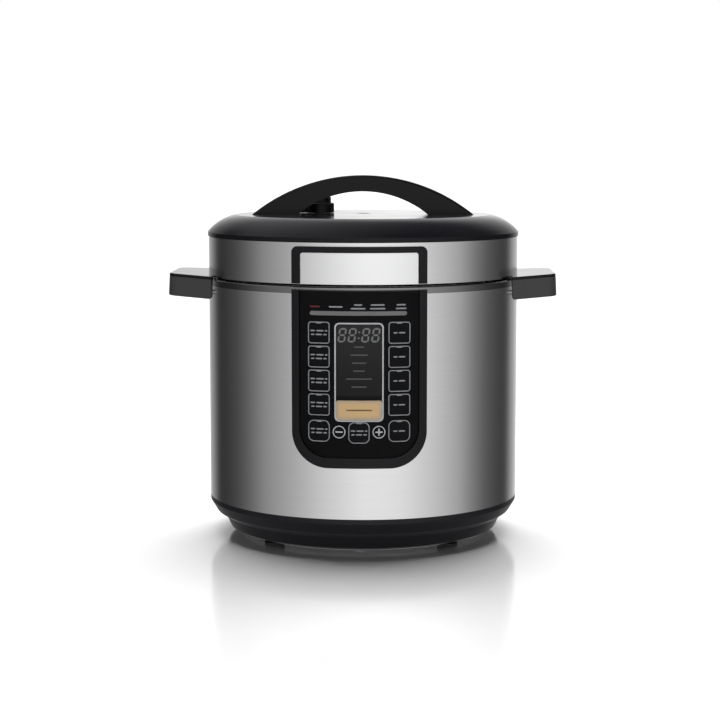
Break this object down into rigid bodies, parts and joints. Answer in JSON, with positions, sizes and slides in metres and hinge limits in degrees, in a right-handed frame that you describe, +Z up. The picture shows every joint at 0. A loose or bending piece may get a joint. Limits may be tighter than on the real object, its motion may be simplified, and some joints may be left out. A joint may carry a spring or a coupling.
{
  "type": "electric pressure cooker",
  "caption": "Countertop electric pressure cooker: brushed steel drum, black base, turning lid with arched handle and steam valve, side handles, and a curved control panel.",
  "frame": {"origin": "on the cooker's vertical axis, in the plane of the undersides of its feet", "axes": "+Z up along the cooker's axis, -Y out of the control panel at the front, +X towards the side handle on the viewer's right"},
  "size_m": [0.3474, 0.3124, 0.3251],
  "materials": {
    "gloss_black": "moulded, high gloss",
    "smoked_gloss": "smoked, mirror gloss",
    "satin_black": "moulded, fine texture",
    "brushed_steel": "brushed round the body",
    "badge_metal": "fine satin",
    "lid_steel": "pressed, polished",
    "pot_metal": "satin",
    "liner_metal": "pressed",
    "panel_black": "high gloss",
    "smoked_lens": "smoked, clear",
    "display_grey": "display cell",
    "key_black": "gloss, printed outline",
    "key_gold": "gold lacquer",
    "foot_rubber": "matte",
    "silicone": "translucent matte",
    "clear_plastic": "clear",
    "board_green": "board laminate",
    "part_plastic": "moulded",
    "brass": "bare",
    "zinc": "zinc plated"
  },
  "bodies": {
    "cooker": {"panel_frame": "gloss_black", "side_handle_caps": "gloss_black", "collar_ring": "smoked_gloss", "base_housing": "satin_black", "side_handle_left": "satin_black", "side_handle_right": "satin_black", "cup_bracket": "satin_black", "inlet_socket": "satin_black", "body_shell": "brushed_steel", "outer_pot": "liner_metal", "heating_plate": "liner_metal", "sensor_holder": "liner_metal", "panel_face": "panel_black", "display_window": "smoked_lens", "display_module": "display_grey", "feet": "foot_rubber", "power_board": "board_green", "control_board": "board_green", "power_components": "part_plastic", "key_switches": "part_plastic", "pressure_switch": "part_plastic", "thermal_fuse": "part_plastic", "inlet_pins": "brass", "base_screws": "zinc", "side_handle_screws": "zinc", "sensor_spring": "zinc"},
    "pot": {"inner_pot": "pot_metal"},
    "seal": {"sealing_ring": "silicone", "seal_wire_ring": "zinc"},
    "lid": {"lid_cover": "gloss_black", "lid_band": "brushed_steel", "badge_frame": "gloss_black", "badge_plate": "badge_metal", "lid_handle_top": "gloss_black", "lid_handle_base": "gloss_black", "lid_handle_screws": "zinc", "pressure_lid": "lid_steel", "vent_pipe": "lid_steel", "vent_pipe_nut": "lid_steel", "vent_shield": "lid_steel", "float_guide": "part_plastic"},
    "valve_knob": {"steam_valve_knob": "satin_black"},
    "float": {"float_pin": "zinc", "float_seal": "silicone"},
    "sensor": {"temperature_sensor": "liner_metal"},
    "cup": {"condensate_cup": "clear_plastic"},
    "key_left_1": {"key_left_1": "key_black"},
    "key_left_2": {"key_left_2": "key_black"},
    "key_left_3": {"key_left_3": "key_black"},
    "key_left_4": {"key_left_4": "key_black"},
    "key_right_1": {"key_right_1": "key_black"},
    "key_right_2": {"key_right_2": "key_black"},
    "key_right_3": {"key_right_3": "key_black"},
    "key_right_4": {"key_right_4": "key_black"},
    "key_bottom_left": {"key_bottom_left": "key_black"},
    "key_bottom_right": {"key_bottom_right": "key_black"},
    "key_bottom_centre": {"key_bottom_centre": "key_black"},
    "key_main": {"key_main": "key_gold"},
    "key_minus": {"key_minus": "key_black"},
    "key_plus": {"key_plus": "key_black"}
  },
  "joints": [
    {"name": "pot_lift", "type": "slide", "parent": "cooker", "child": "pot", "axis": [0, 0, 1], "range_m": [0, 0.2]},
    {"name": "lid_lift", "type": "slide", "parent": "pot", "child": "seal", "axis": [0, 0, 1], "range_m": [0, 0.12]},
    {"name": "lid_turn", "type": "hinge", "parent": "seal", "child": "lid", "pos_m": [0, 0, 0.25], "axis": [0, 0, 1], "range_deg": [0, 30]},
    {"name": "knob_turn", "type": "hinge", "parent": "lid", "child": "valve_knob", "pos_m": [-0.041, 0.033, 0.297], "axis": [0, 0, 1], "range_deg": [-60, 0]},
    {"name": "float_rise", "type": "slide", "parent": "lid", "child": "float", "axis": [0, 0, 1], "range_m": [0, 0.0045]},
    {"name": "sensor_press", "type": "slide", "parent": "cooker", "child": "sensor", "axis": [0, 0, 1], "range_m": [-0.0025, 0], "stiffness_N_per_m": 300, "springref_m": 0.003, "deforming": ["sensor_spring"]},
    {"name": "cup_pull", "type": "slide", "parent": "cooker", "child": "cup", "axis": [0, 1, 0], "range_m": [0, 0.06]},
    {"name": "key_left_1_press", "type": "slide", "parent": "cooker", "child": "key_left_1", "axis": [0, 1, 0], "range_m": [0, 0.0005], "stiffness_N_per_m": 800},
    {"name": "key_left_2_press", "type": "slide", "parent": "cooker", "child": "key_left_2", "axis": [0, 1, 0], "range_m": [0, 0.0005], "stiffness_N_per_m": 800},
    {"name": "key_left_3_press", "type": "slide", "parent": "cooker", "child": "key_left_3", "axis": [0, 1, 0], "range_m": [0, 0.0005], "stiffness_N_per_m": 800},
    {"name": "key_left_4_press", "type": "slide", "parent": "cooker", "child": "key_left_4", "axis": [0, 1, 0], "range_m": [0, 0.0005], "stiffness_N_per_m": 800},
    {"name": "key_right_1_press", "type": "slide", "parent": "cooker", "child": "key_right_1", "axis": [0, 1, 0], "range_m": [0, 0.0005], "stiffness_N_per_m": 800},
    {"name": "key_right_2_press", "type": "slide", "parent": "cooker", "child": "key_right_2", "axis": [0, 1, 0], "range_m": [0, 0.0005], "stiffness_N_per_m": 800},
    {"name": "key_right_3_press", "type": "slide", "parent": "cooker", "child": "key_right_3", "axis": [0, 1, 0], "range_m": [0, 0.0005], "stiffness_N_per_m": 800},
    {"name": "key_right_4_press", "type": "slide", "parent": "cooker", "child": "key_right_4", "axis": [0, 1, 0], "range_m": [0, 0.0005], "stiffness_N_per_m": 800},
    {"name": "key_bottom_left_press", "type": "slide", "parent": "cooker", "child": "key_bottom_left", "axis": [0, 1, 0], "range_m": [0, 0.0005], "stiffness_N_per_m": 800},
    {"name": "key_bottom_right_press", "type": "slide", "parent": "cooker", "child": "key_bottom_right", "axis": [0, 1, 0], "range_m": [0, 0.0005], "stiffness_N_per_m": 800},
    {"name": "key_bottom_centre_press", "type": "slide", "parent": "cooker", "child": "key_bottom_centre", "axis": [0, 1, 0], "range_m": [0, 0.0005], "stiffness_N_per_m": 800},
    {"name": "key_main_press", "type": "slide", "parent": "cooker", "child": "key_main", "axis": [0, 1, 0], "range_m": [0, 0.0005], "stiffness_N_per_m": 800},
    {"name": "key_minus_press", "type": "slide", "parent": "cooker", "child": "key_minus", "axis": [0, 1, 0], "range_m": [0, 0.0005], "stiffness_N_per_m": 800},
    {"name": "key_plus_press", "type": "slide", "parent": "cooker", "child": "key_plus", "axis": [0, 1, 0], "range_m": [0, 0.0005], "stiffness_N_per_m": 800}
  ]
}
